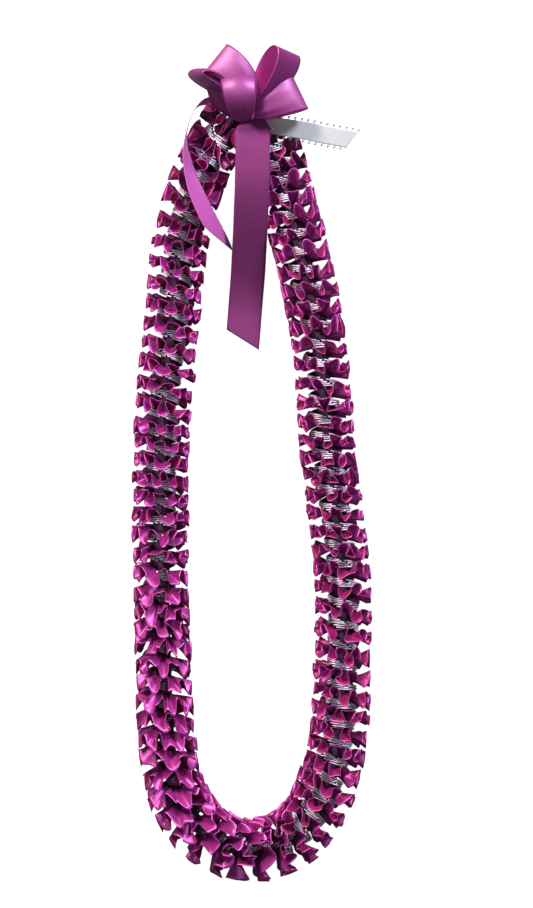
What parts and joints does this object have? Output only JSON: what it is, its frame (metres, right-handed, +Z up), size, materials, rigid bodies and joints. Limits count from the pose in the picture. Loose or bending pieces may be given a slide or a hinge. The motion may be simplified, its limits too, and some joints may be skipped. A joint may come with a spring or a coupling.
{
  "type": "satin ribbon lei",
  "caption": "Lei of magenta satin ribbon gathered in a spiral ruffle round a pleated silver ribbon, tied off with a bow whose free ends hang inside the loop.",
  "frame": {"origin": "on the surface that the lei lies on, under the middle of its box", "axes": "+Z up from the surface, +Y along the loop towards the bow, +X to the right seen from above"},
  "size_m": [0.1527, 0.53, 0.0562],
  "materials": {
    "magenta_satin": "satin ribbon, bright sheen",
    "silver_satin": "pale silver satin ribbon, soft sheen"
  },
  "bodies": {
    "root": {"ruffle_01": "magenta_satin", "ruffle_02": "magenta_satin", "ruffle_03": "magenta_satin", "ruffle_04": "magenta_satin", "ruffle_05": "magenta_satin", "ruffle_06": "magenta_satin", "ruffle_07": "magenta_satin", "ruffle_08": "magenta_satin", "ruffle_09": "magenta_satin", "ruffle_10": "magenta_satin", "ruffle_11": "magenta_satin", "ruffle_12": "magenta_satin", "ruffle_13": "magenta_satin", "ruffle_14": "magenta_satin", "ruffle_15": "magenta_satin", "ruffle_16": "magenta_satin", "ruffle_17": "magenta_satin", "ruffle_18": "magenta_satin", "ruffle_19": "magenta_satin", "ruffle_20": "magenta_satin", "ruffle_21": "magenta_satin", "ruffle_22": "magenta_satin", "silver_core": "silver_satin", "bow": "magenta_satin", "tail_long": "magenta_satin", "tail_curled": "magenta_satin", "tail_silver": "silver_satin"}
  },
  "joints": []
}
